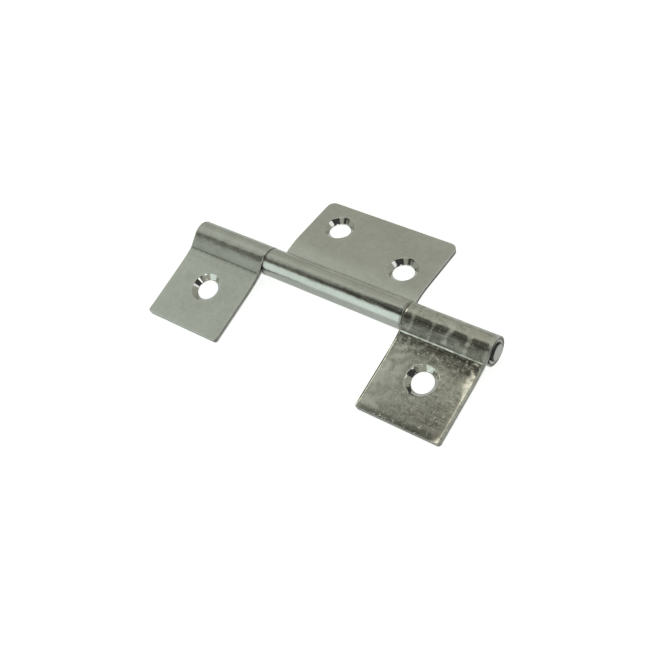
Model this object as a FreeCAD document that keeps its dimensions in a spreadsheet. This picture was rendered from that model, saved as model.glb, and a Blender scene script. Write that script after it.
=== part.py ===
import FreeCAD, Part
import math
import os

import Sketcher

# Three-leaf hinge of bent sheet steel: two narrow outer leaves and one wide centre leaf turn on one pin.
# X runs along the pin. Z is up. The origin is on the supporting surface, under the middle of the pin.
# At rest the hinge lies on its knuckles and on the free edge of every leaf, like a shallow roof.

# Alias, value (mm or degrees), meaning.
DIMENSIONS = [
    ("sheet_thickness", 1.2, "steel sheet of all three leaves"),
    ("outer_width", 19.9, "each outer leaf along the pin"),
    ("centre_knuckle", 36.4, "centre knuckle along the pin"),
    ("left_near", 16.65, "middle of the centre leaf to its left side, at the notch"),
    ("left_far", 17.25, "middle of the centre leaf to its left side, at the free edge"),
    ("right_near", 17.35, "middle of the centre leaf to its right side, at the notch"),
    ("right_far", 16.82, "middle of the centre leaf to its right side, at the free edge"),
    ("knuckle_gap", 0.2, "axial gap on each side of the centre knuckle"),
    ("outer_depth", 22.25, "pin axis to the free edge of an outer leaf"),
    ("centre_depth", 22.05, "pin axis to the free edge of the centre leaf"),
    ("pin_radius", 2.0, "solid round pin"),
    ("pin_length", 77.7, "pin, a little longer than the three knuckles"),
    ("pin_chamfer", 0.25, "chamfer on both pin ends"),
    ("running_gap", 0.07, "radial gap between the pin and an outer knuckle"),
    ("outer_joggle", 25.0, "slope of an outer leaf between bend and knuckle"),
    ("centre_joggle", 40.0, "slope of the centre leaf between bend and knuckle"),
    ("outer_bend", 0.8, "inside radius of the bend in an outer leaf"),
    ("centre_bend", 0.8, "inside radius of the bend in the centre leaf"),
    ("outer_rest", 8.0, "slope that is left after the bend in an outer leaf"),
    ("centre_rest", 14.0, "slope that is left after the bend in the centre leaf"),
    ("outer_ease", 34.0, "radius on which that slope runs out in an outer leaf"),
    ("centre_ease", 19.0, "radius on which that slope runs out in the centre leaf"),
    ("outer_tip", 6.0, "angle from the leaf to the end of an outer curl"),
    ("centre_tip", -8.0, "the same for the centre curl, which stops short of the leaf"),
    ("outer_corner", 0.7, "corner radius of an outer leaf"),
    ("centre_corner", 1.8, "corner radius of the centre leaf"),
    ("notch_start", 3.7, "pin axis to the side notches of the centre leaf"),
    ("hole_diameter", 4.8, "screw hole"),
    ("sink_diameter", 7.0, "countersink at the face"),
    ("sink_angle", 90.0, "full angle of the countersink"),
    ("sink_rise", 0.03, "how far the cutter's cone is followed above the face, to clear the bend"),
    ("outer_hole_depth", 11.8, "pin axis to the hole of an outer leaf"),
    ("near_hole_depth", 10.4, "pin axis to the nearer hole of the centre leaf"),
    ("far_hole_depth", 15.25, "pin axis to the farther hole of the centre leaf"),
    ("hole_half_pitch", 10.12, "leaf middle to either hole of the centre leaf"),
    ("edge_round", 0.12, "rounding of the sheared edges"),
]

doc = FreeCAD.newDocument("three_leaf_hinge")
dims = doc.addObject("Spreadsheet::Sheet", "Dimensions")
for row, (alias, value, meaning) in enumerate(DIMENSIONS, start=1):
    dims.set(f"A{row}", alias)
    dims.set(f"B{row}", str(value))
    dims.set(f"C{row}", meaning)
    dims.setAlias(f"B{row}", alias)
doc.recompute()


def size(alias):
    return float(dims.get(alias))


def bind(feature, prop, expression):
    """Ties a property to the spreadsheet. Every @word in the expression is an alias of the sheet."""
    feature.setExpression(prop, expression.replace("@", "Dimensions."))


def new_body(name):
    body = doc.addObject("PartDesign::Body", name)
    body.Label = name
    return body


def new_sketch(body, name, role):
    sketch = body.newObject("Sketcher::SketchObject", name)
    plane = next(p for p in body.Origin.OriginFeatures if p.Role == role)
    sketch.AttachmentSupport = [(plane, "")]
    sketch.MapMode = "FlatFace"
    return sketch


def add(sketch, kind, *where, named=None, expression=None):
    """Adds one constraint and, where an expression is given, ties it to the spreadsheet."""
    index = sketch.addConstraint(Sketcher.Constraint(kind, *where))
    if expression:
        sketch.renameConstraint(index, named)
        bind(sketch, f"Constraints.{named}", expression)


def vec(x, y):
    return FreeCAD.Vector(x, y, 0)


def line(start, end):
    return Part.LineSegment(start, end)


def arc(centre, radius, first, last):
    """Arc from the angle first, counter-clockwise to the angle last, both in degrees."""
    circle = Part.Circle(centre, FreeCAD.Vector(0, 0, 1), radius)
    return Part.ArcOfCircle(circle, math.radians(first), math.radians(last))


def turned(radius, angle):
    """Point at a radius and an angle in degrees about the pin axis."""
    return vec(radius * math.cos(math.radians(angle)), radius * math.sin(math.radians(angle)))


def sheet_profile(sketch, side, bore, bore_rule, kind):
    """Draws the section of a leaf, with the pin axis at the sketch's origin: flat, bend, joggle and curl.

    The flat lies just above the axis. With side 1 the sheet rises to pass over the pin, and with side -1
    it drops to pass under the pin. bore_rule gives bore in the sheet's cells, and kind, outer or centre,
    is how the aliases of the other sizes begin.
    """
    thick = size("sheet_thickness")
    bend = size(f"{kind}_bend")
    ease = size(f"{kind}_ease")
    depth = size(f"{kind}_depth")
    slope = size(f"{kind}_joggle")
    rest = size(f"{kind}_rest")
    lap = size(f"{kind}_tip")
    outer = bore + thick
    lift = thick if side > 0 else 0.0
    sine, cosine = math.sin(math.radians(slope)), math.cos(math.radians(slope))
    rest_sine, rest_cosine = math.sin(math.radians(rest)), math.cos(math.radians(rest))
    rise = lift + ease * (1 - rest_cosine) + bend * rest_cosine
    run = (outer + bend - rise * cosine) / sine
    reach = run + (ease - bend) * rest_sine

    def at(x, y):
        return vec(x, side * y)

    def swept(centre, radius, first, last):
        if side > 0:
            return arc(centre, radius, first, last)
        return arc(centre, radius, -last, -first)

    bend_centre = at(run, rise)
    ease_centre = at(reach, lift + ease)
    outer_bend = at(run - bend * sine, rise - bend * cosine)
    inner_bend = at(run - (bend + thick) * sine, rise - (bend + thick) * cosine)
    curl_outer, tip_line, curl_inner, slope_inner, bend_inner, ease_inner = range(6)
    flat_inner, free_edge, flat_outer, ease_outer, bend_outer, slope_outer = range(6, 12)
    sketch.addGeometry(
        [
            swept(vec(0, 0), outer, 90 - slope, 360 + lap),
            line(turned(bore, side * lap), turned(outer, side * lap)),
            swept(vec(0, 0), bore, 90 - slope, 360 + lap),
            line(at(bore * sine, bore * cosine), inner_bend),
            swept(bend_centre, bend + thick, 270 - slope, 270 - rest),
            swept(ease_centre, ease + thick, 270 - rest, 270),
            line(at(reach, lift - thick), at(depth, lift - thick)),
            line(at(depth, lift - thick), at(depth, lift)),
            line(at(depth, lift), at(reach, lift)),
            swept(ease_centre, ease, 270 - rest, 270),
            swept(bend_centre, bend, 270 - slope, 270 - rest),
            line(at(outer * sine, outer * cosine), outer_bend),
        ],
        False,
    )
    base, end = (1, 2) if side > 0 else (2, 1)
    add(sketch, "Coincident", curl_outer, 3, -1, 1)
    add(sketch, "Coincident", curl_inner, 3, -1, 1)
    add(sketch, "Coincident", bend_inner, 3, bend_outer, 3)
    add(sketch, "Coincident", ease_inner, 3, ease_outer, 3)
    add(sketch, "Tangent", slope_outer, 1, curl_outer, base)
    add(sketch, "Tangent", slope_inner, 1, curl_inner, base)
    add(sketch, "Tangent", slope_outer, 2, bend_outer, base)
    add(sketch, "Tangent", slope_inner, 2, bend_inner, base)
    add(sketch, "Tangent", bend_outer, end, ease_outer, base)
    add(sketch, "Tangent", bend_inner, end, ease_inner, base)
    add(sketch, "Tangent", flat_outer, 2, ease_outer, end)
    add(sketch, "Tangent", flat_inner, 1, ease_inner, end)
    add(sketch, "Coincident", curl_outer, end, tip_line, 2)
    add(sketch, "Coincident", curl_inner, end, tip_line, 1)
    add(sketch, "PointOnObject", -1, 1, tip_line)
    add(sketch, "Coincident", flat_inner, 2, free_edge, 1)
    add(sketch, "Coincident", free_edge, 2, flat_outer, 1)
    add(sketch, "Horizontal", flat_inner)
    add(sketch, "Horizontal", flat_outer)
    add(sketch, "Vertical", free_edge)
    add(sketch, "PointOnObject", free_edge, 1 if side > 0 else 2, -1)
    add(sketch, "Radius", curl_inner, bore, named="bore", expression=bore_rule)
    add(sketch, "Radius", curl_outer, outer, named="knuckle", expression=f"{bore_rule} + @sheet_thickness")
    add(sketch, "Radius", bend_outer, bend, named="bend", expression=f"@{kind}_bend")
    add(sketch, "Radius", ease_outer, ease, named="ease", expression=f"@{kind}_ease")
    add(sketch, "Angle", ease_outer, math.radians(rest), named="rest", expression=f"@{kind}_rest")
    add(sketch, "DistanceX", -1, 1, free_edge, 1, depth, named="depth", expression=f"@{kind}_depth")
    add(sketch, "Distance", free_edge, thick, named="sheet", expression="@sheet_thickness")
    sign = "-" if side > 0 else ""
    slope_angle = math.radians(-side * slope)
    add(sketch, "Angle", slope_outer, slope_angle, named="slope", expression=f"{sign}@{kind}_joggle")
    sign = "" if side > 0 else "-"
    add(sketch, "Angle", tip_line, math.radians(side * lap), named="tip", expression=f"{sign}@{kind}_tip")


def pad_along_pin(body, sketch, width_rule):
    pad = body.newObject("PartDesign::Pad", "SheetPad")
    pad.Profile = sketch
    pad.SideType = "Symmetric"
    bind(pad, "Length", width_rule)
    doc.recompute()
    return pad


def edges_of(feature, wanted):
    """Names of the feature's edges for which wanted(edge) is true."""
    edges = feature.Shape.Edges
    return [f"Edge{number}" for number, edge in enumerate(edges, start=1) if wanted(edge)]


def same(value, target):
    return abs(value - target) < 1e-4


def round_corners(body, base, kind):
    """Rounds the two corners at the free edge, seen square on to the leaf."""
    depth = size(f"{kind}_depth")

    def at_corner(edge):
        box = edge.BoundBox
        return same(box.YMin, depth) and same(box.XLength, 0)

    corners = body.newObject("PartDesign::Fillet", "Corners")
    corners.Base = (base, edges_of(base, at_corner))
    bind(corners, "Radius", f"@{kind}_corner")
    doc.recompute()
    return corners


def screw_holes(body, places):
    """Countersunk holes, drilled down from the upper face. places holds (x, y, x rule, y rule)."""
    sketch = new_sketch(body, "HoleCentres", "XY_Plane")
    bind(sketch, "AttachmentOffset.Base.z", "@sheet_thickness + @sink_rise")
    for number, (x, y, x_rule, y_rule) in enumerate(places):
        circle = Part.Circle(vec(x, y), FreeCAD.Vector(0, 0, 1), size("hole_diameter") / 2)
        sketch.addGeometry(circle, False)
        label = f"hole_{number}"
        add(sketch, "Diameter", number, size("hole_diameter"), named=label, expression="@hole_diameter")
        add(sketch, "DistanceY", -1, 1, number, 3, y, named=f"{label}_depth", expression=y_rule)
        if x_rule:
            add(sketch, "DistanceX", -1, 1, number, 3, x, named=f"{label}_offset", expression=x_rule)
        else:
            add(sketch, "PointOnObject", number, 3, -2)
    doc.recompute()
    hole = body.newObject("PartDesign::Hole", "ScrewHoles")
    hole.Profile = sketch
    doc.recompute()
    hole.ThreadType = "None"
    hole.DepthType = "ThroughAll"
    hole.HoleCutType = "Countersink"
    hole.HoleCutCustomValues = True
    bind(hole, "Diameter", "@hole_diameter")
    bind(hole, "HoleCutDiameter", "@sink_diameter + 2 * @sink_rise * tan(@sink_angle / 2)")
    bind(hole, "HoleCutCountersinkAngle", "@sink_angle")
    doc.recompute()
    return hole


def round_sheared_edges(body, base, kind, side):
    """Rounds the outline of the leaf on both faces: its free edge, and all that lies beyond side."""
    thick = size("sheet_thickness")
    depth = size(f"{kind}_depth")
    notch = size("notch_start")

    def on_outline(edge):
        box = edge.BoundBox
        level = same(box.ZLength, 0) and (same(box.ZMin, 0) or same(box.ZMin, thick))
        if level and box.YMin > depth - 3:
            return True
        beside = box.XMin > side or box.XMax < -side
        return beside and not across_sheet(edge) and not same(box.YMax, notch)

    def across_sheet(edge):
        return same(edge.Length, thick) and edge.Curve.TypeId == "Part::GeomLine"

    rounded = body.newObject("PartDesign::Fillet", "ShearedEdges")
    rounded.Base = (base, edges_of(base, on_outline))
    bind(rounded, "Radius", "@edge_round")
    doc.recompute()
    return rounded


def rest_tilt(kind):
    """Angle at which a leaf lies, with its free edge on the surface."""
    return math.degrees(math.asin(AXIS_HEIGHT / size(f"{kind}_depth")))


def outer_leaf(name, end):
    """Narrow leaf, one hole. The left and right leaves are the same piece. end is -1 left, 1 right."""
    body = new_body(name)
    section = new_sketch(body, "Section", "YZ_Plane")
    bore = size("pin_radius") + size("running_gap")
    sheet_profile(section, 1, bore, "@pin_radius + @running_gap", "outer")
    pad = pad_along_pin(body, section, "@outer_width")
    round_corners(body, pad, "outer")
    holes = screw_holes(body, [(0, size("outer_hole_depth"), None, "@outer_hole_depth")])
    half_width = size("outer_width") / 2
    round_sheared_edges(body, holes, "outer", half_width - 0.01)
    offset = size("centre_knuckle") / 2 + size("knuckle_gap") + half_width
    turn = FreeCAD.Rotation(FreeCAD.Vector(0, 0, 1), 180)
    tilt = FreeCAD.Rotation(FreeCAD.Vector(1, 0, 0), rest_tilt("outer"))
    body.Placement = FreeCAD.Placement(FreeCAD.Vector(end * offset, 0, AXIS_HEIGHT), tilt.multiply(turn))
    return body


def centre_leaf():
    """Wide leaf, two staggered holes. It is as wide as its knuckle up to the notches, then narrower."""
    body = new_body("centre_leaf")
    section = new_sketch(body, "Section", "YZ_Plane")
    sheet_profile(section, -1, size("pin_radius"), "@pin_radius", "centre")
    pad_along_pin(body, section, "@centre_knuckle")
    notches = side_notches(body)
    round_corners(body, notches, "centre")
    pitch = size("hole_half_pitch")
    places = [
        (-pitch, size("far_hole_depth"), "-@hole_half_pitch", "@far_hole_depth"),
        (pitch, size("near_hole_depth"), "@hole_half_pitch", "@near_hole_depth"),
    ]
    holes = screw_holes(body, places)
    round_sheared_edges(body, holes, "centre", size("left_near") - 0.01)
    tilt = FreeCAD.Rotation(FreeCAD.Vector(1, 0, 0), -rest_tilt("centre"))
    body.Placement = FreeCAD.Placement(FreeCAD.Vector(0, 0, AXIS_HEIGHT), tilt)
    return body


def side_notches(body):
    """Cuts both sides of the centre leaf back, so that the flat is narrower than its knuckle."""
    sketch = new_sketch(body, "Notches", "XY_Plane")
    outside = size("centre_knuckle") / 2 + 1
    start = size("notch_start")
    stop = size("centre_depth")
    for number, (side, name) in enumerate(((-1, "left"), (1, "right"))):
        near, far = size(f"{name}_near"), size(f"{name}_far")
        first = 4 * number
        corners = [
            vec(side * near, start),
            vec(side * outside, start),
            vec(side * outside, stop),
            vec(side * far, stop),
        ]
        for index, corner in enumerate(corners):
            sketch.addGeometry(line(corner, corners[(index + 1) % 4]), False)
        for index in range(4):
            add(sketch, "Coincident", first + index, 2, first + (index + 1) % 4, 1)
        for index in (0, 2):
            add(sketch, "Horizontal", first + index)
        add(sketch, "Vertical", first + 1)
        sign = "-" if side < 0 else ""
        places = ((first, 1, near, "near"), (first + 3, 1, far, "far"))
        for index, point, value, label in places:
            label = f"{name}_{label}"
            rule = f"{sign}@{label}"
            add(sketch, "DistanceX", -1, 1, index, point, side * value, named=label, expression=rule)
        rule = f"{sign}(@centre_knuckle / 2 + 1)"
        add(sketch, "DistanceX", -1, 1, first, 2, side * outside, named=f"{name}_out", expression=rule)
        add(sketch, "DistanceY", -1, 1, first, 1, start, named=f"{name}_start", expression="@notch_start")
        add(sketch, "DistanceY", -1, 1, first + 2, 1, stop, named=f"{name}_stop", expression="@centre_depth")
    doc.recompute()
    before = body.Tip.Shape.Volume
    pocket = body.newObject("PartDesign::Pocket", "NotchPocket")
    pocket.Profile = sketch
    pocket.SideType = "Symmetric"
    bind(pocket, "Length", "4 * @centre_depth")
    doc.recompute()
    if pocket.Shape.Volume > before - 1:
        raise RuntimeError("the notches cut nothing")
    return pocket


def hinge_pin():
    """Solid round pin through all three knuckles, plain at both ends."""
    body = new_body("hinge_pin")
    sketch = new_sketch(body, "Circle", "YZ_Plane")
    sketch.addGeometry(Part.Circle(vec(0, 0), FreeCAD.Vector(0, 0, 1), size("pin_radius")), False)
    add(sketch, "Coincident", 0, 3, -1, 1)
    add(sketch, "Radius", 0, size("pin_radius"), named="pin", expression="@pin_radius")
    pad = pad_along_pin(body, sketch, "@pin_length")
    half_length = size("pin_length") / 2

    def at_an_end(edge):
        return same(abs(edge.BoundBox.XMin), half_length) and same(edge.BoundBox.XLength, 0)

    chamfer = body.newObject("PartDesign::Chamfer", "PinEnds")
    chamfer.Base = (pad, edges_of(pad, at_an_end))
    bind(chamfer, "Size", "@pin_chamfer")
    body.Placement = FreeCAD.Placement(FreeCAD.Vector(0, 0, AXIS_HEIGHT), FreeCAD.Rotation())
    return body


# The largest knuckle stands on the surface, and every free edge comes down to it.
AXIS_HEIGHT = size("pin_radius") + size("running_gap") + size("sheet_thickness")

pieces = [outer_leaf("left_leaf", -1), outer_leaf("right_leaf", 1), centre_leaf(), hinge_pin()]
doc.recompute()

for item in doc.Objects:
    if "Invalid" in item.State or "Error" in item.State:
        raise RuntimeError(f"{item.Name} failed: {item.State}")
for piece in pieces:
    if piece.Shape.isNull() or not piece.Shape.isValid():
        raise RuntimeError(f"{piece.Label} has no valid shape")

os.makedirs("parts", exist_ok=True)
for piece in pieces:
    piece.Shape.exportStep(f"parts/{piece.Label}.step")
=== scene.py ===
import math

import bmesh
import bpy
import numpy as np
from mathutils import Matrix, Vector


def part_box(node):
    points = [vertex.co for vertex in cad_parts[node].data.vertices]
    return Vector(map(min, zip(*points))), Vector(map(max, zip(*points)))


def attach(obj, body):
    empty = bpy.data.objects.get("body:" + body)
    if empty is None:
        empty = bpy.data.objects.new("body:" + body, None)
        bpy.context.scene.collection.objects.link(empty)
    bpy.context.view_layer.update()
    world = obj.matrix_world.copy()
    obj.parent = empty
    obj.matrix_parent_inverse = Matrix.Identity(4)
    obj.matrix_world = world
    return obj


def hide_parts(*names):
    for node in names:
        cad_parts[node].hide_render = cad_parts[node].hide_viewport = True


# Three-leaf hinge of bent, zinc-plated sheet steel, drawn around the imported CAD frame.
# Each leaf is one sheet: a flat blank with its holes, bent along the CAD section.
# Sizes are in mm up to where the points are placed, and the scene itself is in metres.

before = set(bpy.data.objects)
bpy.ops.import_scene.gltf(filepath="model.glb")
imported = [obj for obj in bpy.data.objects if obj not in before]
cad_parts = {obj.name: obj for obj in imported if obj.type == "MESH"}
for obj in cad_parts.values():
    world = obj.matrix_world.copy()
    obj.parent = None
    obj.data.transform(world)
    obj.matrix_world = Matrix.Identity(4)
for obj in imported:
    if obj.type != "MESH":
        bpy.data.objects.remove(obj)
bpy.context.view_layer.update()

MM = 0.001
THICK = 1.2
HALF = THICK / 2
PIN_RADIUS = 2.0
PIN_CHAMFER = 0.25
PLAY = 0.07           # between the pin and the outer knuckles
AXIS_HEIGHT = PIN_RADIUS + PLAY + THICK
BOX = {n: [np.array(corner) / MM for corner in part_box(n)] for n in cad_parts}

INSET = 0.16          # width of the rolled edge all round a blank
HOLE_RADIUS = 2.4
SINK_RADIUS = 3.5
SINK_DEPTH = SINK_RADIUS - HOLE_RADIUS
LIP = 0.05            # rounding at the mouth of a countersink and at the back of a hole
PATCH = 4.1           # half side of the square of mesh that holds a screw hole
PATCH_RINGS = (0.25, 0.5, 0.72, 0.88, 1.0)  # where its rings lie between the border and the hole
CELL = 0.36           # widest mesh cell on a flat
CURL_CELL = math.radians(4)  # a mesh row's angle on the curl
CREASE_CELL = 0.08    # mesh rows where the joggle ends in a crease
CREASE_LEAD = 0.5     # how far before the crease they begin
CORNER_ROWS = 8       # mesh rows through the rounding of a free corner
SECTION_SAMPLES = 4000  # points along a section when it is searched for a depth
TOUCH = 0.001         # stops closer than this are the same
ON_BORDER = 1e-4      # how near a patch's border counts as on it
ROUNDING = 1e-6       # slack when a length is divided into cells

# The sheared rim from one face to the other: distance out from the inset outline, and w.
ROLLED = [
    (INSET * math.sin(t), HALF - INSET * (1 - math.cos(t))) for t in np.radians([18, 36, 54, 72, 90])
]
SHEARED = [
    (INSET, 0.26), (INSET, 0.1), (INSET - 0.02, -0.04), (INSET - 0.03, -0.2), (INSET - 0.03, -0.36),
    (INSET - 0.012, -HALF + 0.07), (INSET - 0.06, -HALF + 0.012),
]
TORN_DEPTH = 0.016    # roughness of the torn part of the rim
WANDER = 0.05         # about how far the lines along the rim wander
TORN_BAND = (-0.15, -0.28)                # w where the torn colour begins and is full
RIM_SHADE_BAND = (HALF - 0.1, HALF - 0.24)   # the same for the smooth band, where shade is painted dark
WEAR_REACH = 0.35     # how far wear reaches in from an edge

CHATTER = 0.016       # how deep the drill's chatter marks in a countersink are
CHATTER_LOBES = (12, 15)

PIN_SIDES = 96
PIN_RINGS = 12        # on each end face
PIN_STATIONS = 40     # along the rod

WAVE_COUNT = 24
# Two of these layers carry painted shade: one in creases, beside joints and along a free edge, and
# one on the smooth band of the rim and the pin's chamfers.
LAYERS = ("torn", "painted_rim_shade", "sink", "edge", "matt", "painted_shade", "aged")


class Section:
    """The bent mid line of a sheet. v runs along it from the end of the curl to the free edge.

    side 1 passes over the pin and -1 under it. w is the distance off the mid line, outward on the
    curl. bore is the radius inside the curl and depth the distance from the axis to the free edge.
    slope is the joggle's angle, tip the angle of the curl's end from the leaf's own direction and
    rest the slope left after the crease. bend and ease are the inner radii of the crease and of
    the gentle bend that takes up the rest.
    """

    def __init__(self, side, bore, slope, tip, bend, ease, rest, depth):
        self.side = side
        self.depth = depth
        self.radius = bore + HALF
        self.slope = math.radians(slope)
        self.rest = math.radians(rest)
        self.lap = math.radians(tip)
        lift = THICK if side > 0 else 0.0
        sine, cosine = math.sin(self.slope), math.cos(self.slope)
        rise = lift + ease * (1 - math.cos(self.rest)) + bend * math.cos(self.rest)
        run = (bore + THICK + bend - rise * cosine) / sine
        self.reach = run + (ease - bend) * math.sin(self.rest)
        self.level = lift - HALF
        self.bend_centre = np.array([run, rise])
        self.bend_radius = bend + HALF
        self.ease_centre = np.array([self.reach, lift + ease])
        self.ease_radius = ease + HALF
        self.line_start = self.radius * np.array([sine, cosine])
        line_end = self.bend_centre - self.bend_radius * np.array([sine, cosine])
        self.line_direction = np.array([cosine, -sine])
        line_length = float(np.linalg.norm(line_end - self.line_start))
        self.v_curl = self.radius * (1.5 * math.pi + self.slope + self.lap)
        self.v_line = self.v_curl + line_length
        self.v_bend = self.v_line + self.bend_radius * (self.slope - self.rest)
        self.v_ease = self.v_bend + self.ease_radius * self.rest
        self.v_end = self.v_ease + depth - self.reach

    def v_at_depth(self, s):
        """v of the point beyond the curl that lies s from the pin axis."""
        v = np.linspace(self.v_curl, self.v_end, SECTION_SAMPLES)
        return float(np.interp(s, self.at(v, 0 * v)[0], v))

    def angle(self, v):
        """Angle about the pin of a point on the curl, from the leaf's own direction."""
        return 2 * math.pi + self.lap - v / self.radius

    def at(self, v, w):
        """Depth from the axis and height over it, for arrays of v and w."""
        v, w = np.asarray(v, float), np.asarray(w, float)

        def swept(centre, radius, turn):
            return centre + radius[:, None] * np.stack([np.cos(turn), np.sin(turn)], 1)

        curl = swept(np.zeros(2), self.radius + w, self.angle(np.minimum(v, self.v_curl)))
        normal = np.array([math.sin(self.slope), math.cos(self.slope)])
        along = (v - self.v_curl)[:, None] * self.line_direction
        line = self.line_start + along + w[:, None] * normal
        turn = 1.5 * math.pi - self.slope + (v - self.v_line) / self.bend_radius
        bend = swept(self.bend_centre, self.bend_radius - w, turn)
        turn = 1.5 * math.pi - self.rest + (v - self.v_bend) / self.ease_radius
        ease = swept(self.ease_centre, self.ease_radius - w, turn)
        flat = np.stack([self.reach + v - self.v_ease, self.level + w], 1)
        out = np.where((v < self.v_curl)[:, None], curl, line)
        for start, piece in ((self.v_line, bend), (self.v_bend, ease), (self.v_ease, flat)):
            out = np.where((v > start)[:, None], piece, out)
        return out[:, 0], out[:, 1] * self.side


def spaced(stops, cell):
    """Rising positions that include every stop and are no further apart than cell."""
    out = [stops[0]]
    for a, b in zip(stops, stops[1:]):
        parts = max(1, math.ceil((b - a) / cell - ROUNDING))
        out += [a + (b - a) * i / parts for i in range(1, parts + 1)]
    return out


def step(a, b, t):
    """Smooth step from 0 where t is a to 1 where it is b, with a on either side of b."""
    t = np.clip((t - a) / (b - a), 0, 1)
    return t * t * (3 - 2 * t)


def bell(t, width):
    """1 where t is 0, falling away on both sides."""
    return np.exp(-(t / width) ** 2)


def waves(x, y, seed, length):
    """Smooth random field about 0, mostly within 1.4 of it, with features of the given length."""
    rng = np.random.default_rng(seed)
    total = np.zeros(np.shape(x))
    for _ in range(WAVE_COUNT):
        bearing = rng.uniform(0, 2 * math.pi)
        number = 2 * math.pi / (length * rng.uniform(0.7, 1.6))
        phase = rng.uniform(0, 2 * math.pi)
        total = total + np.sin(number * (x * math.cos(bearing) + y * math.sin(bearing)) + phase)
    return total / math.sqrt(WAVE_COUNT)


def dents(x, y, seed, length, level=1.0):
    """Random field about level that is never below 0, so that relief only goes inward."""
    return np.maximum(level + waves(x, y, seed, length), 0)


def patches(x, y, seed, length, level, swing):
    """Random share, 0 to 1, that swings about level."""
    return np.clip(level + swing * waves(x, y, seed, length), 0, 1)


class Blank:
    """The flat pattern of one leaf: two faces, the sheared rim between them and the screw holes.

    sides are the half widths at negative and at positive x, each near the knuckle and at the free
    edge. holes are x and the distance from the pin axis. Where a knuckle is wider than its leaf,
    knuckle_half is its half width and notch how far from the axis it ends. face is 1 where the
    countersinks are on the face that lies outside on the curl, and -1 where they are on the other.
    """

    def __init__(self, section, sides, corner, holes, knuckle_half=None, notch=None, face=1):
        self.section = section
        self.face = face
        self.holes = [(x, section.v_at_depth(s)) for x, s in holes]
        self.sides = [[near - INSET, far - INSET] for near, far in sides]
        self.half_width = max(max(pair) for pair in self.sides)
        self.knuckle_half = (knuckle_half or self.half_width + INSET) - INSET
        self.corner = corner - INSET
        self.v_notch = section.v_at_depth(notch) - INSET if notch else None
        self.inner = max(abs(x) for x, _ in holes) + PATCH
        self.corner_start = section.v_end - INSET - self.corner
        self.columns = self.column_positions(holes)
        self.rows = self.row_positions()
        self.points, self.faces = [], []

    def column_positions(self, holes):
        edges = [self.half_width, self.knuckle_half]
        edges += [abs(x) + d for x, _ in holes if x for d in (-PATCH, PATCH)]
        if any(x == 0 for x, _ in holes):
            edges.append(PATCH)
        edges = sorted({round(e, 6) for e in edges})
        return spaced([-e for e in reversed(edges)] + edges, CELL)

    def row_positions(self):
        s = self.section
        stops = [INSET, s.v_curl, s.v_line - CREASE_LEAD, s.v_line, s.v_bend, s.v_ease]
        stops.append(self.corner_start)
        stops += [v + d for _, v in self.holes for d in (-PATCH, PATCH)]
        if self.v_notch:
            stops.append(self.v_notch)
        stops = sorted({round(v, 6) for v in stops})
        rows = stops[:1]
        for a, b in zip(stops, stops[1:]):
            cell = s.radius * CURL_CELL if b <= s.v_curl + TOUCH else CELL
            if s.v_line - CREASE_LEAD - TOUCH <= a < s.v_bend - TOUCH:
                cell = CREASE_CELL
            rows += spaced([a, b], cell)[1:]
        turns = np.linspace(0, math.pi / 2, CORNER_ROWS + 1)[1:]
        return rows + [self.corner_start + self.corner * math.sin(t) for t in turns]

    def side(self, number, v):
        """Half width of the inset outline at negative (0) or positive (1) x."""
        near, far = self.sides[number]
        if self.v_notch:
            share = (v - self.v_notch) / (self.section.v_end - self.v_notch)
            share = min(max(share, 0.0), 1.0)
        else:
            share = float(step(self.section.v_curl - 1.0, self.section.v_curl + 5.0, v))
        rise = max(0.0, v - self.corner_start) / self.corner
        rounding = self.corner * (1 - math.sqrt(max(0.0, 1 - rise * rise)))
        return near + (far - near) * share - rounding

    def drawn(self, x, v):
        """Moves a column to where the outline of the leaf puts it in this row."""
        nominal = [-self.half_width, -self.inner, self.inner, self.half_width]
        actual = [-self.side(0, v), -self.inner, self.inner, self.side(1, v)]
        if self.knuckle_half > self.half_width:
            nominal = [-self.knuckle_half, *nominal, self.knuckle_half]
            actual = [-self.knuckle_half, *actual, self.knuckle_half]
        return float(np.interp(x, nominal, actual))

    def layer(self, w, hole_radius):
        """One face of the blank. Returns its first vertex, its faces and the loops of its holes."""
        first = len(self.points)
        index, faces, circles = {}, [], []

        def corner_of(i, j):
            if (i, j) not in index:
                x, v = self.columns[i], self.rows[j]
                index[i, j] = len(self.points)
                self.points.append((self.drawn(x, v), v, w))
            return index[i, j]

        def in_patch(x, v):
            return any(abs(x - hx) < PATCH and abs(v - hv) < PATCH for hx, hv in self.holes)

        for j in range(len(self.rows) - 1):
            v = (self.rows[j] + self.rows[j + 1]) / 2
            for i in range(len(self.columns) - 1):
                x = (self.columns[i] + self.columns[i + 1]) / 2
                beyond = abs(x) > self.half_width and not (self.v_notch and v < self.v_notch)
                if beyond or in_patch(x, v):
                    continue
                around = ((i, j), (i + 1, j), (i + 1, j + 1), (i, j + 1))
                faces.append([corner_of(*place) for place in around])
        for hx, hv in self.holes:
            points = self.points
            border = [k for k in range(first, len(points)) if self.on_patch(points[k], hx, hv)]
            border.sort(key=lambda k: math.atan2(self.points[k][1] - hv, self.points[k][0] - hx))
            ring = border
            for share in PATCH_RINGS:
                following = []
                for k in border:
                    dx, dv = self.points[k][0] - hx, self.points[k][1] - hv
                    far = math.hypot(dx, dv)
                    radius = far + (hole_radius - far) * share
                    following.append(len(self.points))
                    self.points.append((hx + dx * radius / far, hv + dv * radius / far, w))
                faces += self.strip(ring, following)
                ring = following
            circles.append(ring)
        self.faces += faces
        return first, faces, circles

    @staticmethod
    def on_patch(point, hx, hv):
        reach = max(abs(point[0] - hx), abs(point[1] - hv))
        return abs(reach - PATCH) < ON_BORDER

    @staticmethod
    def strip(a, b):
        """Faces between two closed loops of the same length."""
        count = len(a)
        return [[a[k], a[(k + 1) % count], b[(k + 1) % count], b[k]] for k in range(count)]

    def add_loop(self, points):
        first = len(self.points)
        self.points += points
        return list(range(first, first + len(points)))

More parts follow.
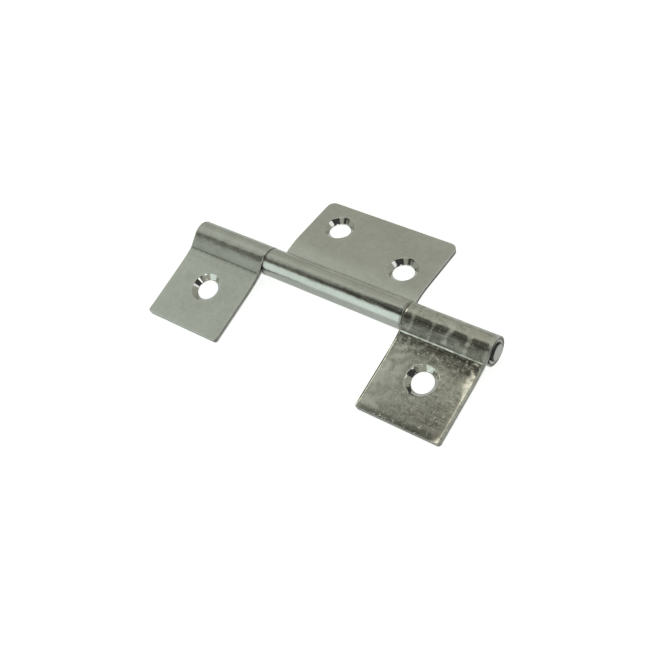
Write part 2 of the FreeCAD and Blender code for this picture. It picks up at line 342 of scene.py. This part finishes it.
    def build(self, seed):
        mouth, back = SINK_RADIUS + LIP, HOLE_RADIUS + LIP
        radii = (mouth, back) if self.face > 0 else (back, mouth)
        upper, upper_faces, upper_circles = self.layer(HALF, radii[0])
        lower, _, lower_circles = self.layer(-HALF, radii[1])
        self.rim_start = len(self.points)
        outline = boundary(upper_faces, set(sum(upper_circles, [])))
        self.shear(outline, lower - upper, seed)
        self.hole_start = len(self.points)
        for number, (hx, hv) in enumerate(self.holes):
            circles = [upper_circles[number], lower_circles[number]]
            top, bottom = circles if self.face > 0 else circles[::-1]
            self.countersink(hx, hv, top, bottom, seed + number)

    def shear(self, loop, shift, seed):
        """The rim: a rolled edge on one face, a smooth band, a torn band and a sharp corner."""
        ring = [np.array(self.points[k][:2]) for k in loop]
        count = len(ring)
        offsets = []
        for k in range(count):
            before = ring[k] - ring[k - 1]
            after = ring[(k + 1) % count] - ring[k]
            a = np.array([before[1], -before[0]]) / np.linalg.norm(before)
            b = np.array([after[1], -after[0]]) / np.linalg.norm(after)
            offsets.append((a + b) / (1 + float(a @ b)))
        area = sum(p[0] * q[1] - p[1] * q[0] for p, q in zip(ring, ring[1:] + ring[:1]))
        if area < 0:
            offsets = [-offset for offset in offsets]
        lengths = [float(np.linalg.norm(ring[k] - ring[k - 1])) for k in range(1, count)]
        walk = np.cumsum([0] + lengths)
        last = loop
        for out, w in ROLLED + SHEARED:
            torn = TORN_DEPTH * step(0.2, -0.05, w) * step(-HALF, -HALF + 0.1, w)
            rough = torn * dents(walk, np.full(count, 9 * w), seed, 0.55)
            loose = WANDER * step(0.3, 0.1, w) * step(-HALF, -0.3, w)
            level = w + loose * waves(walk, 0 * walk, seed + 5, 2.5)
            following = self.add_loop([
                (*(ring[k] + offsets[k] * (out - rough[k])), float(level[k])) for k in range(count)
            ])
            self.faces += self.strip(last, following)
            last = following
        self.faces += self.strip(last, [k + shift for k in loop])

    def countersink(self, hx, hv, top, bottom, seed):
        """The cone, cut by a drill that chattered a little, and the short bore under it."""
        rng = np.random.default_rng(seed)
        turns = [math.atan2(self.points[k][1] - hv, self.points[k][0] - hx) for k in top]
        lobes = rng.integers(*CHATTER_LOBES)
        phase = rng.uniform(0, 6)
        profile = [(SINK_RADIUS + 0.012, 0.012), (SINK_RADIUS - 0.03, 0.045)]
        profile += [(SINK_RADIUS - d, d) for d in np.linspace(0.12, SINK_DEPTH - 0.05, 9)]
        profile += [(HOLE_RADIUS + 0.005, SINK_DEPTH + 0.02), (HOLE_RADIUS, THICK - 0.04)]
        profile.append((HOLE_RADIUS + 0.015, THICK - 0.01))
        last = top
        for radius, down in profile:
            deep = step(0.03, 0.3, down) * step(SINK_DEPTH + 0.06, SINK_DEPTH - 0.3, down)
            points = []
            for t in turns:
                wave = math.sin(lobes * t + phase + 0.8 * down)
                wave = wave + 0.4 * math.sin(2 * lobes * t + 2 * phase + 1)
                r = radius + CHATTER * deep * wave
                place = (hx + r * math.cos(t), hv + r * math.sin(t))
                points.append((*place, self.face * (HALF - down)))
            following = self.add_loop(points)
            self.faces += self.strip(last, following)
            last = following
        self.faces += self.strip(last, bottom)


def boundary(faces, excluded):
    """The outer boundary of a face set as a closed loop of vertices."""
    uses = {}
    for face in faces:
        for a, b in zip(face, face[1:] + face[:1]):
            key = (min(a, b), max(a, b))
            uses[key] = uses.get(key, 0) + 1
    links = {}
    for (a, b), number in uses.items():
        if number == 1 and a not in excluded and b not in excluded:
            links.setdefault(a, []).append(b)
            links.setdefault(b, []).append(a)
    start = next(iter(links))
    loop, before, here = [start], None, start
    while True:
        following = next(k for k in links[here] if k != before)
        if following == start:
            return loop
        loop.append(following)
        before, here = here, following


def new_object(name, vertices, faces, material, layers):
    """A smooth mesh object that carries each layer as a float attribute of its points."""
    mesh = bpy.data.meshes.new(name)
    mesh.from_pydata([tuple(v) for v in vertices], [], faces)
    for label, values in layers.items():
        attribute = mesh.attributes.new(label, "FLOAT", "POINT")
        attribute.data.foreach_set("value", np.asarray(values, np.float32))
    bm = bmesh.new()
    bm.from_mesh(mesh)
    bmesh.ops.recalc_face_normals(bm, faces=bm.faces)
    bm.to_mesh(mesh)
    bm.free()
    mesh.polygons.foreach_set("use_smooth", [True] * len(mesh.polygons))
    mesh.materials.append(material)
    obj = bpy.data.objects.new(name, mesh)
    bpy.context.scene.collection.objects.link(obj)
    weighted = obj.modifiers.new("weighted_normals", "WEIGHTED_NORMAL")
    weighted.weight = 80
    weighted.keep_sharp = True
    return obj


def leaf(name, node, body, blank, heading, middle, treatment, seed, material):
    """Bends a blank along its section and puts it where the CAD leaf is.

    heading 1 points the leaf to +Y and -1 to -Y, and middle is its place along the pin. treatment
    is four functions of x, v and the section: how far the shown face sinks, where it is rubbed,
    where shade is painted on and where it is mottled.
    """
    relief, marks, shade_paint, ageing = treatment
    blank.build(seed)
    section = blank.section
    x, v, flat_w = (np.array(column) for column in zip(*blank.points))
    number = np.arange(len(x))
    on_curl = v < section.v_line
    shown = (flat_w > HALF / 2) & on_curl | (flat_w * blank.face > HALF / 2) & ~on_curl
    bare = number < blank.rim_start
    fade = 1.0
    if blank.face < 0:  # the shown face changes sides at the joggle, so relief fades out there
        fade = np.maximum(
            step(section.v_line, section.v_curl, v), step(section.v_line, section.v_ease, v)
        )
    sunk = np.where(shown & bare, relief(heading * x, v, section) * fade, 0)
    s, h = section.at(v, flat_w - sunk * np.sign(flat_w))
    sine = AXIS_HEIGHT / section.depth
    cosine = math.sqrt(1 - sine * sine)
    place = np.stack([
        middle + heading * x,
        heading * (s * cosine + h * sine),
        AXIS_HEIGHT - s * sine + h * cosine,
    ], 1) * MM

    rim = ((number >= blank.rim_start) & (number < blank.hole_start)).astype(float)
    sink = (number >= blank.hole_start).astype(float)
    torn = rim * step(*TORN_BAND, flat_w)
    # Painted shade: the smooth band of the rim is coloured dark.
    painted_rim_shade = rim * step(*RIM_SHADE_BAND, flat_w) * (1 - torn)
    limit = np.array([blank.side(1 if a > 0 else 0, b) + INSET for a, b in zip(x, v)])
    limit = np.where(v < (blank.v_notch or 0), blank.knuckle_half + INSET, limit)
    inward = np.minimum(limit - np.abs(x), np.minimum(v, section.v_end - v))
    for hx, hv in blank.holes:
        inward = np.minimum(inward, np.hypot(x - hx, v - hv) - SINK_RADIUS)
    edge = np.exp(-np.maximum(inward, 0) / WEAR_REACH)
    matt = np.clip(marks(heading * x, v, section), 0, 1) * (1 - rim) * (1 - sink)
    # Painted shade in creases, beside joints and along a free edge.
    painted_shade = shade_paint(heading * x, v, section) * (1 - sink)
    aged = ageing(heading * x, v, section)
    layers = dict(zip(LAYERS, (torn, painted_rim_shade, sink, edge, matt, painted_shade, aged)))
    obj = new_object(name, place, blank.faces, material, layers)
    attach(obj, body)
    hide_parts(node)


def pin(name, node, body, material):
    """Plain round pin, cropped and chamfered at both ends."""
    low, high = BOX[node]
    middle = (low[0] + high[0]) / 2
    half = (high[0] - low[0]) / 2
    shoulder = PIN_RADIUS - PIN_CHAMFER
    end = [(half, r) for r in np.linspace(0.12, shoulder - 0.03, PIN_RINGS)]
    end += [
        (half - 0.01, shoulder + 0.02),
        (half - PIN_CHAMFER * 0.5, PIN_RADIUS - PIN_CHAMFER * 0.5),
        (half - PIN_CHAMFER + 0.02, PIN_RADIUS - 0.01),
        (half - PIN_CHAMFER - 0.05, PIN_RADIUS),
    ]
    stations = [(-x, r) for x, r in end]
    stations += [(x, PIN_RADIUS) for x in np.linspace(-half + 1, half - 1, PIN_STATIONS)]
    stations += list(reversed(end))
    vertices, faces = [], []
    for x, r in stations:
        for k in range(PIN_SIDES):
            t = 2 * math.pi * k / PIN_SIDES
            y, z = r * math.sin(t), AXIS_HEIGHT + r * math.cos(t)
            vertices.append(((middle + x) * MM, y * MM, z * MM))
    for j in range(len(stations) - 1):
        for k in range(PIN_SIDES):
            a, b = j * PIN_SIDES, (j + 1) * PIN_SIDES
            faces.append([a + k, a + (k + 1) % PIN_SIDES, b + (k + 1) % PIN_SIDES, b + k])
    for j, x in ((0, -half), (len(stations) - 1, half)):
        vertices.append(((middle + x) * MM, 0, AXIS_HEIGHT * MM))
        centre, a = len(vertices) - 1, j * PIN_SIDES
        faces += [[a + k, a + (k + 1) % PIN_SIDES, centre] for k in range(PIN_SIDES)]
    along = np.array([abs(p[0] / MM - middle) for p in vertices])
    across = np.array([math.hypot(p[1] / MM, p[2] / MM - AXIS_HEIGHT) for p in vertices])
    layers = {label: np.zeros_like(along) for label in LAYERS}
    # Painted shade on the chamfers and the last millimetres of the rod, where it runs into the
    # knuckles.
    layers["painted_rim_shade"] = (
        step(shoulder - 0.03, shoulder + 0.05, across) * step(half - 3, half - 1, along)
    )
    layers["aged"] = np.ones_like(along)
    obj = new_object(name, vertices, faces, material, layers)
    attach(obj, body)
    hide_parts(node)


class Nodes:
    """Short calls for building a shader tree."""

    def __init__(self, tree):
        self.tree = tree
        tree.nodes.clear()

    def join(self, node, inputs):
        for key, value in inputs.items():
            if isinstance(value, bpy.types.NodeSocket):
                self.tree.links.new(value, node.inputs[key])
            else:
                node.inputs[key].default_value = value

    def add(self, kind, inputs, **settings):
        node = self.tree.nodes.new(kind)
        for key, value in settings.items():
            setattr(node, key, value)
        self.join(node, inputs)
        return node

    def math(self, operation, a, b, clamp=False):
        settings = {"operation": operation, "use_clamp": clamp}
        return self.add("ShaderNodeMath", {0: a, 1: b}, **settings).outputs[0]

    def plus(self, a, b):
        return self.math("ADD", a, b)

    def times(self, a, b):
        return self.math("MULTIPLY", a, b)

    def noise(self, vector, scale, detail=2.0, rough=0.5, distortion=0.0):
        inputs = {"Vector": vector, "Scale": scale, "Detail": detail}
        inputs.update({"Roughness": rough, "Distortion": distortion})
        return self.add("ShaderNodeTexNoise", inputs).outputs["Fac"]

    def ramp(self, value, low, high, start=0.0, stop=1.0):
        """Smooth step from start where the value is low to stop where it is high."""
        inputs = {"Value": value, "From Min": low, "From Max": high, "To Min": start, "To Max": stop}
        settings = {"interpolation_type": "SMOOTHSTEP"}
        return self.add("ShaderNodeMapRange", inputs, **settings).outputs["Result"]

    def mix(self, factor, a, b):
        """Colour a where the factor is 0 and b where it is 1."""
        inputs = {0: factor, 6: a, 7: b}
        return self.add("ShaderNodeMix", inputs, data_type="RGBA").outputs[2]

    def stretched(self, vector, scale):
        inputs = {0: vector, 1: scale}
        return self.add("ShaderNodeVectorMath", inputs, operation="MULTIPLY").outputs[0]


def grey(value, red=1.0, green=1.0, blue=1.0):
    """Colour of the given value, with a share of it for each channel."""
    return (value * red, value * green, value * blue, 1.0)


# Colours of the plate where something has changed it, two of them painted shade.
TARNISHED = grey(0.34, 1.02, 1.0, 0.84)
FRECKLED = grey(0.30, 1.06, 1.0, 0.80)
# painted shade in creases, beside joints and along a free edge
PAINTED_SHADE_TINT = grey(0.16, 1.03, 1.0, 0.86)
SPECKLED = grey(0.92, 1.0, 0.99, 0.95)
WORN = grey(0.93, 1.0, 0.99, 0.96)
RUBBED = grey(0.88, 1.0, 0.98, 0.93)
# painted shade on the smooth band of sheared rims and on the pin's chamfers
PAINTED_RIM_SHADE_TINT = grey(0.07, 1.0, 0.98, 0.93)
TORN = grey(0.75, 1.0, 0.98, 0.94)

# Noise scales are per metre, since the shaders work in the scene's units.
ROLLING = (70, 2400, 2400)    # stretches noise into the sheet's rolling lines
SCRATCHING = (900, 160, 160)  # and into hair scratches across them
BUMP_DISTANCE = 0.00001


def zinc(name, light, dark, roughness, grain, stain, scratch):
    """Bright zinc plate on rolled sheet, between a light and a dark shade.

    grain is the depth of the rolling lines, stain the share of tarnish and freckles, and scratch the
    share of specks and hair scratches.
    """
    material = bpy.data.materials.new(name)
    material.use_nodes = True
    n = Nodes(material.node_tree)
    place = n.add("ShaderNodeTexCoord", {}).outputs["Object"]
    torn, painted_rim_shade, sink, edge, matt, painted_shade, aged = (
        n.add("ShaderNodeAttribute", {}, attribute_name=label).outputs["Fac"] for label in LAYERS
    )
    lines = n.noise(n.stretched(place, ROLLING), scale=1.0, detail=3.0, rough=0.6)
    cloud = n.noise(place, scale=110.0, detail=4.0, rough=0.55, distortion=0.4)
    bloom = n.noise(place, scale=420.0, detail=5.0, rough=0.62, distortion=0.8)
    crystal = n.noise(place, scale=5200.0, rough=0.6)
    pits = n.noise(place, scale=1900.0, detail=3.0, rough=0.7)
    hair = n.noise(n.stretched(place, SCRATCHING), scale=1.0, distortion=2.0)
    tarnish = n.times(n.ramp(bloom, 0.42, 0.72), stain)
    specks = n.times(n.times(n.ramp(pits, 0.60, 0.69), scratch), aged)
    worn = n.times(edge, n.ramp(cloud, 0.35, 0.6, 0.35, 0.9))
    rubbed = n.times(matt, n.ramp(bloom, 0.3, 0.6, 0.6, 1.0))
    blots = n.noise(place, scale=1150.0, detail=4.0, rough=0.68, distortion=0.6)
    freckles = n.times(n.ramp(blots, 0.48, 0.62, 0.0, stain), aged)

    tint = n.mix(n.ramp(cloud, 0.3, 0.7), dark, light)
    tint = n.mix(tarnish, tint, TARNISHED)
    tint = n.mix(n.times(freckles, 0.8), tint, FRECKLED)
    # Painted shade in creases, beside joints and along a free edge.
    tint = n.mix(n.times(painted_shade, 0.85), tint, PAINTED_SHADE_TINT)
    tint = n.mix(specks, tint, SPECKLED)
    tint = n.mix(n.times(worn, 0.5), tint, WORN)
    tint = n.mix(n.times(rubbed, 0.6), tint, RUBBED)
    # Painted shade on the smooth band of the rim and on the pin's chamfers.
    tint = n.mix(n.times(painted_rim_shade, n.ramp(cloud, 0.3, 0.7, 0.8, 1.0)), tint, PAINTED_RIM_SHADE_TINT)
    tint = n.mix(n.times(torn, n.ramp(pits, 0.35, 0.65, 0.7, 1.0)), tint, TORN)

    shine = n.ramp(lines, 0.3, 0.7, roughness - 0.03, roughness + 0.03)
    shine = n.plus(shine, n.ramp(bloom, 0.4, 0.75, 0.0, 0.12 * stain))
    shine = n.plus(shine, n.times(specks, 0.4))
    shine = n.plus(shine, n.times(rubbed, 0.35))
    shine = n.plus(shine, n.times(torn, 0.3))
    shine = n.math("SUBTRACT", shine, n.times(worn, 0.06))
    shine = n.math("SUBTRACT", shine, n.times(sink, 0.10), clamp=True)

    height = n.times(lines, 0.8 * grain)
    height = n.plus(height, n.times(cloud, 1.6))
    height = n.plus(height, n.times(bloom, 0.8 * stain))
    height = n.plus(height, n.times(crystal, 0.03))
    height = n.plus(height, n.times(specks, 0.5))
    height = n.plus(height, n.times(n.ramp(hair, 0.68, 0.74), -0.3 * scratch))
    height = n.plus(height, n.times(n.times(matt, lines), 0.8))
    height = n.plus(height, n.times(n.times(torn, pits), 1.5))
    inputs = {"Strength": 1.0, "Distance": BUMP_DISTANCE, "Height": height}
    bump = n.add("ShaderNodeBump", inputs).outputs["Normal"]
    inputs = {"Base Color": tint, "Metallic": 1.0, "Roughness": shine, "Normal": bump}
    shader = n.add("ShaderNodeBsdfPrincipled", inputs)
    n.add("ShaderNodeOutputMaterial", {"Surface": shader.outputs["BSDF"]})
    return material


# ---- how each leaf's sheet is uneven, rubbed, painted with shade and aged -------------------------
# The functions of a treatment take x along the pin, v along the section and the section itself.

# Place, width and height of the ridges that the bending tool left across the right knuckle.
RIDGES = ((-7.9, 0.3, 0.8), (-2.8, 0.25, 0.8), (0.6, 0.42, 1.0), (5.2, 0.45, 1.0), (9.4, 0.3, 0.7))
RIDGE_SEED = 200


def swelling(v, section, height):
    """Outward swelling where a knuckle runs into its joggle."""
    rise = step(section.v_curl - 1.5, section.v_curl + 0.3, v)
    return height * rise * step(section.v_line + 0.1, section.v_curl + 0.5, v)


def left_relief(x, v, section):
    """Slack all over, and fine dents on the knuckle, which swells at its joggle."""
    slack = 0.01 * dents(x, v, 11, 9.0, 1.4)
    on_curl = step(section.v_line, section.v_curl, v)
    return slack - swelling(v, section, 0.06) + 0.008 * on_curl * dents(x, 1.5 * v, 13, 2.0)


def centre_relief(x, v, section):
    """Slack all over, and fine dents on the knuckle."""
    on_curl = step(section.v_line, section.v_curl, v)
    slack = 0.01 * dents(x, v, 12, 9.0, 1.4)
    return slack + 0.006 * on_curl * dents(x, 2.5 * v, 14, 2.0)


def ridges(x, v):
    """Height, 0 to 1, of the ridges across the right knuckle."""
    total = np.zeros_like(x)
    for place, width, height in RIDGES:
        wander = 0.25 * waves(v, v * 0, int(place * 10) + RIDGE_SEED, 3.0)
        total = np.maximum(total, height * bell(x - place - wander, width))
    return total * patches(x, v, 33, 1.1, 0.75, 0.35)


def right_relief(x, v, section):
    """Tool marks across the knuckle, a slack face, drawn down sides and a lip at the crease."""
    on_curl = step(section.v_bend, section.v_line - 0.6, v) * step(4.0, 6.0, v)
    marked = on_curl * (0.035 * (1.0 - ridges(x, v)) + 0.006 * dents(x, v, 31, 1.6))
    slack = 0.016 * dents(x, v, 32, 9.0, 1.6) + 0.003 * dents(x, v, 34, 1.8)

    wide = 0.5 + 2.4 * bell(v - section.v_at_depth(8.4), 2.4)
    wide += 1.2 * step(section.v_at_depth(19.8), section.v_at_depth(21.8), v)
    drawn = (0.05 + 0.05 * wide) * np.clip((x - (9.85 - wide)) / wide, 0, 1) ** 1.5
    lean = step(section.v_at_depth(7.5), section.v_at_depth(12.0), v)
    lean = lean * step(section.v_at_depth(22.2), section.v_at_depth(19.5), v)
    drawn += 0.13 * lean * np.clip((-x - 3.5) / 6.3, 0, 1) ** 2

    lip = 0.09 * step(section.v_line - 0.42, section.v_line - 0.12, v)
    lip = lip * step(section.v_ease, section.v_bend, v)
    fading = 0.4 * step(1.5, 7.5, x)
    lip = lip * np.clip(0.9 + 0.3 * waves(x, v, 63, 1.8) - fading, 0, 1)
    sides = drawn * step(section.v_bend, section.v_bend + 2, v)
    return marked + slack + sides - swelling(v, section, 0.05) + lip


def left_marks(x, v, section):
    """Dull joggle, and rubbing on the knuckle in soft patches."""
    band = bell(v - section.v_curl + 0.9, 0.8)
    dull = step(section.v_curl + 0.2, section.v_curl + 1.2, v)
    dull = dull * step(section.v_line + 0.1, section.v_line - 0.4, v)
    return np.maximum(band * patches(x, 3 * v, 61, 2.2, 0.15, 0.7) * 0.45, 0.45 * dull)


def centre_marks(x, v, section):
    """Drawn lines along the centre knuckle, and a dull crease."""
    on_curl = step(section.v_curl + 1.0, section.v_curl - 1.0, v)
    crease = bell(v - (section.v_line + section.v_bend) / 2, 0.6)
    return np.maximum(on_curl * patches(x / 5, 4 * v, 62, 1.6, 0.1, 0.5) * 0.35, 0.7 * crease)


def right_marks(x, v, section):
    """Rubbed ridges and a burnished crease on the right leaf."""
    on_curl = step(section.v_line + 0.5, section.v_line - 0.5, v) * step(4.0, 6.0, v)
    burnished = section.v_line - 0.27
    crease = bell(v - burnished, 0.22) * patches(x, 0 * x, 64, 1.2, 0.8, 0.3)
    slope = step(section.v_curl, section.v_curl + 0.9, v)
    slope = 0.22 * (slope * step(section.v_line + 0.1, section.v_line - 0.1, v))
    rubbed = np.maximum(ridges(x, v) * on_curl, 0.5 * crease)
    return np.maximum(rubbed, slope * patches(x, v, 65, 1.0, 0.8, 0.2))


def left_crease_shade(x, v, section):
    """Painted shade in the crease."""
    crease = (section.v_line + section.v_bend) / 2 + 0.2
    return 0.6 * bell(v - crease, 0.3) * patches(x, v, 90, 1.2, 0.8, 0.3)


def joint_shade(x, v, section):
    """Painted shade at the ends of the centre knuckle, beside the gaps."""
    reach = np.abs(x).max()
    return step(reach - 0.75, reach - 0.35, np.abs(x)) * step(section.v_bend, section.v_line, v)


def right_painted_shade(x, v, section):
    """Painted shade: a dark strip under the burnished crease, and another along the free edge."""
    under = bell(v - section.v_bend - 0.35, 0.35)
    front = step(section.v_at_depth(20.3), section.v_at_depth(21.6), v) * step(8.2, 6.8, x)
    return 0.45 * under + 0.8 * front * patches(x, v, 91, 1.5, 0.9, 0.3)


def even_ageing(x, v, section):
    """Mottled alike all over. It takes what the other functions of a treatment take."""
    return np.ones_like(x)


def right_ageing(x, v, section):
    """Mottled all over but for a clean patch on the left of the flat, and less on the knuckle."""
    clean = step(-1.5, -5.5, x + 0.6 * waves(v, 0 * v, 92, 6.0))
    clean = clean * step(section.v_at_depth(7.0), section.v_at_depth(9.5), v)
    clean = clean * step(section.v_at_depth(21.6), section.v_at_depth(19.8), v)
    on_curl = step(section.v_line, section.v_line - 0.8, v)
    return (1 - 0.8 * clean) * (1 - 0.65 * on_curl)


# ---- leaves and pin -------------------------------------------------------------------------------

outer_section = Section(
    side=1, bore=PIN_RADIUS + PLAY, slope=25.0, tip=6.0, bend=0.8, ease=34.0, rest=8.0, depth=22.25
)
centre_section = Section(
    side=-1, bore=PIN_RADIUS, slope=40.0, tip=-8.0, bend=0.8, ease=19.0, rest=14.0, depth=22.05
)

left_zinc = zinc(
    "zinc_left", light=grey(0.78, 0.99, 1.0, 0.97), dark=grey(0.70, 0.99, 1.0, 0.96),
    roughness=0.18, grain=0.15, stain=0.12, scratch=0.25,
)
right_zinc = zinc(
    "zinc_right", light=grey(0.84, 1.0, 0.99, 0.93), dark=grey(0.68, 1.0, 0.98, 0.90),
    roughness=0.16, grain=0.2, stain=0.7, scratch=1.0,
)
centre_zinc = zinc(
    "zinc_centre", light=grey(0.77, 0.99, 1.0, 0.96), dark=grey(0.69, 0.99, 1.0, 0.95),
    roughness=0.16, grain=0.15, stain=0.12, scratch=0.25,
)
pin_steel = zinc(
    "zinc_pin", light=grey(0.66, 1.0, 1.0, 0.97), dark=grey(0.56, 1.0, 1.0, 0.97),
    roughness=0.30, grain=0.6, stain=0.2, scratch=0.4,
)

# Name, CAD node, body, half widths, treatment, seed and plating of each outer leaf.
for name, node, body, sides, treatment, seed, metal in (
    ("left_leaf_sheet", "left_leaf", "left", [(10.05, 10.15), (10.0, 9.87)],
     (left_relief, left_marks, left_crease_shade, even_ageing), 1, left_zinc),
    ("right_leaf_sheet", "right_leaf", "right", [(10.05, 9.90), (10.0, 9.76)],
     (right_relief, right_marks, right_painted_shade, right_ageing), 2, right_zinc),
):
    low, high = BOX[node]
    blank = Blank(outer_section, sides, corner=0.7, holes=[(0.0, 11.8)])
    middle = (low[0] + high[0]) / 2
    leaf(name, node, body, blank, -1, middle, treatment, seed, metal)

low, high = BOX["centre_leaf"]
blank = Blank(
    centre_section, sides=[(16.65, 17.25), (17.35, 16.82)], corner=1.8,
    holes=[(-10.12, 15.25), (10.12, 10.4)], knuckle_half=(high[0] - low[0]) / 2, notch=3.7, face=-1,
)
treatment = (centre_relief, centre_marks, joint_shade, even_ageing)
leaf("centre_leaf_sheet", "centre_leaf", "centre", blank, 1, 0.0, treatment, 3,
     centre_zinc)
pin("pin_rod", "hinge_pin", "centre", pin_steel)

# ---- floor, light and camera ----------------------------------------------------------------------

STAGE_RADIUS = 1.5
STAGE_SIDES = 48

paint = bpy.data.materials.new("stage_white")
paint.use_nodes = True
paint_nodes = Nodes(paint.node_tree)
inputs = {"Base Color": grey(0.86), "Roughness": 0.9, "Specular IOR Level": 0.0}
inputs.update({"Emission Color": grey(1.0, 0.99, 1.0, 1.0), "Emission Strength": 0.78})
shader = paint_nodes.add("ShaderNodeBsdfPrincipled", inputs)
paint_nodes.add("ShaderNodeOutputMaterial", {"Surface": shader.outputs["BSDF"]})


def stage_part(name, vertices, faces):
    """Part of the studio, which the metal doesn't mirror."""
    mesh = bpy.data.meshes.new(name)
    mesh.from_pydata(vertices, [], faces)
    mesh.materials.append(paint)
    obj = bpy.data.objects.new(name, mesh)
    bpy.context.scene.collection.objects.link(obj)
    obj.visible_glossy = False
    return obj


turns = np.linspace(0, 2 * math.pi, STAGE_SIDES + 1)[:-1]
low_ring = [(STAGE_RADIUS * math.cos(t), STAGE_RADIUS * math.sin(t), 0.0) for t in turns]
high_ring = [(x, y, STAGE_RADIUS) for x, y, _ in low_ring]
stage_part("floor", low_ring, [list(range(STAGE_SIDES))])
around = [(k, (k + 1) % STAGE_SIDES) for k in range(STAGE_SIDES)]
walls = [[a, b, STAGE_SIDES + b, STAGE_SIDES + a] for a, b in around]
backdrop = stage_part("backdrop", low_ring + high_ring, walls)
backdrop.visible_diffuse = False
backdrop.visible_shadow = False

world = bpy.data.worlds.new("studio")
world.use_nodes = True
studio = Nodes(world.node_tree)
ray = studio.add("ShaderNodeTexCoord", {}).outputs["Generated"]

LOWER_GREY = grey(0.49, 0.94, 1.0, 0.94)
UPPER_GREY = grey(0.345, 0.96, 1.0, 0.84)

# Soft patches of light or dark round the studio, each laid over the ones before it: the direction
# of its middle, the angles in degrees where it is full and where it ends, and its colour. The notes
# say what mirrors it, in the photo's view unless they name another.
STUDIO_PATCHES = (
    ((-0.50, 0.61, 0.615), 10, 26, grey(0.405, 0.97, 1.0, 0.86)),  # flat of the centre leaf
    ((-0.62, 0.20, 0.76), 7, 24, grey(0.50, 0.94, 1.0, 0.88)),     # flat of the left leaf
    ((-0.50, -0.82, 0.25), 12, 30, grey(0.88, 0.88, 1.0, 0.94)),
    ((-0.30, -0.40, 0.866), 14, 21.5, grey(0.035, 1.0, 1.0, 0.8)),
    ((-0.25, -0.10, 0.96), 12, 18.5, grey(0.05, 1.0, 1.0, 0.8)),
    ((-0.585, -0.45, 0.675), 3, 9, grey(0.09, 1.0, 1.0, 0.85)),
    ((-0.68, -0.12, 0.72), 4, 12, grey(0.50, 0.94, 1.0, 0.88)),
    ((0.85, -0.30, 0.25), 14, 34, grey(0.03)),
    ((0.65, -0.10, 0.72), 27, 33, grey(0.05)),
    ((-0.04, 0.16, 0.985), 8, 18, grey(1.3, 1.0, 0.98, 0.84)),
    ((0.56, 0.40, -0.72), 14, 30, grey(0.65, 0.97, 1.0, 0.95)),    # rims that face +X
    ((-0.08, -0.34, 0.935), 9, 16, grey(0.38, 0.96, 1.0, 0.90)),   # outer leaves, from straight above
    ((0.72, 0.33, 0.60), 7, 11, grey(0.95)),
    ((0.68, -0.38, 0.63), 6, 9, grey(1.6)),
    ((0.15, -0.80, 0.57), 6, 10, grey(1.8)),
)


def lobe(direction, inner, outer):
    """1 within inner degrees of a direction, falling to 0 at outer degrees."""
    inputs = {0: ray, 1: tuple(Vector(direction).normalized())}
    dot = studio.add("ShaderNodeVectorMath", inputs, operation="DOT_PRODUCT").outputs["Value"]
    return studio.ramp(dot, math.cos(math.radians(outer)), math.cos(math.radians(inner)))


upward = studio.add("ShaderNodeSeparateXYZ", {0: ray}).outputs["Z"]
colour = studio.mix(studio.ramp(upward, -0.15, 0.1), LOWER_GREY, UPPER_GREY)
for direction, inner, outer, shade in STUDIO_PATCHES:
    colour = studio.mix(lobe(direction, inner, outer), colour, shade)
sky = studio.add("ShaderNodeBackground", {"Color": colour, "Strength": 1.0})
studio.add("ShaderNodeOutputWorld", {"Surface": sky.outputs["Background"]})
bpy.context.scene.world = world
bpy.context.scene.view_settings.view_transform = "Standard"

AZIMUTH, ELEVATION, ROLL = (math.radians(angle) for angle in (51.68, 50.89, -21.42))
AIM = Vector((3.426, -9.337, 3.22)) * MM
DISTANCE = 214.21 * MM
LENS = 56.9           # focal length and sensor width, in mm
SENSOR = 36.0
NEAREST = 0.01

level = math.cos(ELEVATION)
toward = Vector((level * math.sin(AZIMUTH), -level * math.cos(AZIMUTH), math.sin(ELEVATION)))
camera_data = bpy.data.cameras.new("camera")
camera_data.lens = LENS
camera_data.sensor_width = SENSOR
camera_data.clip_start = NEAREST
camera = bpy.data.objects.new("camera", camera_data)
turned = toward.to_track_quat("Z", "Y").to_matrix() @ Matrix.Rotation(ROLL, 3, "Z")
camera.matrix_world = Matrix.Translation(AIM + toward * DISTANCE) @ turned.to_4x4()
bpy.context.scene.collection.objects.link(camera)
bpy.context.scene.camera = camera
